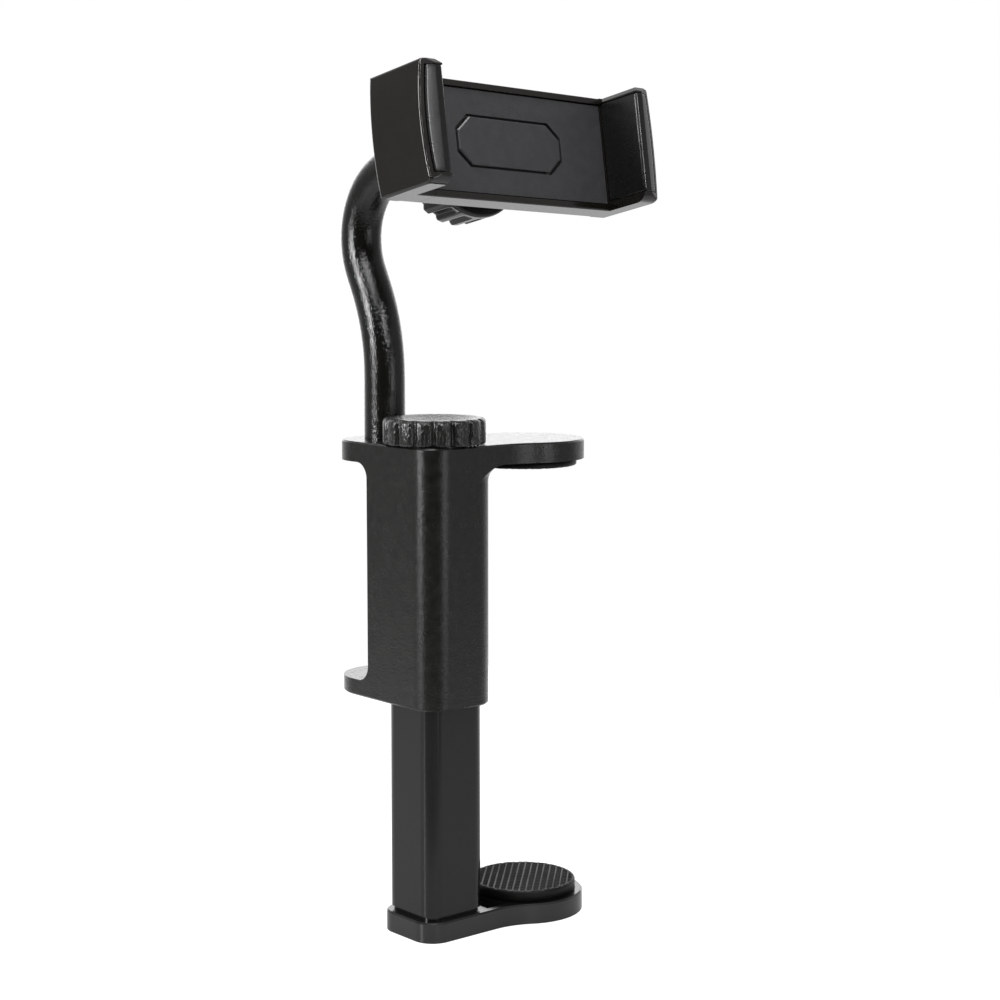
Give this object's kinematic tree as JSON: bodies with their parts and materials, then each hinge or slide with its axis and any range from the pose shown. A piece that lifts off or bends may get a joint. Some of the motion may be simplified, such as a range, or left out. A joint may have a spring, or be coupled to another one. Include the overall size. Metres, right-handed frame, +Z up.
{
  "type": "phone clamp holder",
  "caption": "Screw clamp for a table edge with a bent swivel rod that carries a sprung phone holder on a ball joint; the clamp's lower arm slides on a square tube.",
  "frame": {"origin": "on the square tube's axis at the flat underside of the foot plate", "axes": "+Z up along the tube, +X along the two clamp arms towards the pads, +Y towards the rod's ears; the phone holder faces -Y"},
  "size_m": [0.0889, 0.0867, 0.235],
  "materials": {
    "textured_coat": "sand-textured black coat",
    "satin_coat": "smooth satin black coat",
    "rod_coat": "glossy black coat with an orange-peel grain",
    "knob_coat": "hammered dark grey coat",
    "plain_steel": "plain zinc-plated steel",
    "ball_steel": "blackened steel",
    "pad_rubber": "matt black ribbed rubber",
    "jaw_rubber": "satin black rubber",
    "holder_plastic": "semi-gloss warm black",
    "panel_plastic": "matt fine-grained dark grey",
    "nut_plastic": "black",
    "plug_plastic": "black nylon"
  },
  "bodies": {
    "clamp_frame": {"clamp_sleeve": "textured_coat", "upper_jaw_pad": "pad_rubber", "thrust_washer": "plain_steel"},
    "screw": {"clamp_knob": "knob_coat", "lead_screw": "plain_steel", "screw_collar": "plain_steel"},
    "lower_jaw": {"lower_tube": "satin_coat", "lead_nut": "plain_steel", "tube_base_plug": "plug_plastic", "foot_plate": "satin_coat", "foot_pad": "pad_rubber", "foot_screws": "plain_steel"},
    "rod": {"support_rod": "rod_coat", "spindle_washer": "plain_steel", "spindle_clip": "plain_steel"},
    "ball": {"ball_stud": "ball_steel"},
    "socket": {"socket_nut": "nut_plastic"},
    "holder": {"holder_body": "holder_plastic", "holder_rear_cover": "holder_plastic", "cover_screws": "plain_steel", "back_panel": "panel_plastic", "octagon_pad": "panel_plastic", "fixed_jaw_pad": "jaw_rubber", "jaw_springs": "plain_steel"},
    "jaw": {"sliding_jaw": "holder_plastic", "sliding_jaw_pad": "jaw_rubber"}
  },
  "joints": [
    {"name": "clamp_slide", "type": "slide", "parent": "clamp_frame", "child": "lower_jaw", "axis": [0, 0, 1], "range_m": [-0.003, 0.0375]},
    {"name": "knob_spin", "type": "hinge", "parent": "clamp_frame", "child": "screw", "pos_m": [0, 0, 0.1365], "axis": [0, 0, -1], "range_deg": [-271, 3376]},
    {"name": "rod_swivel", "type": "hinge", "parent": "clamp_frame", "child": "rod", "pos_m": [0, 0.0223, 0.1362], "axis": [0, 0, 1], "continuous": true},
    {"name": "socket_turn", "type": "hinge", "parent": "rod", "child": "ball", "pos_m": [0, -0.01076, 0.21181], "axis": [0, 1, 0], "continuous": true},
    {"name": "socket_tilt", "type": "hinge", "parent": "ball", "child": "socket", "pos_m": [0, -0.01076, 0.21181], "axis": [0.9774, 0, -0.2113], "range_deg": [-13.6, 36.4]},
    {"name": "holder_spin", "type": "hinge", "parent": "socket", "child": "holder", "pos_m": [0, -0.01076, 0.21181], "axis": [-0.0418, 0.9803, -0.1932], "continuous": true},
    {"name": "jaw_slide", "type": "slide", "parent": "holder", "child": "jaw", "axis": [-0.9983, -0.0333, 0.0469], "range_m": [0, 0.0165], "stiffness_N_per_m": 350, "springref_m": -0.012, "deforming": ["jaw_springs"]}
  ],
  "couplings": [
    {"joint": "knob_spin", "follows": "clamp_slide", "rad_per_m": 1570.8}
  ]
}
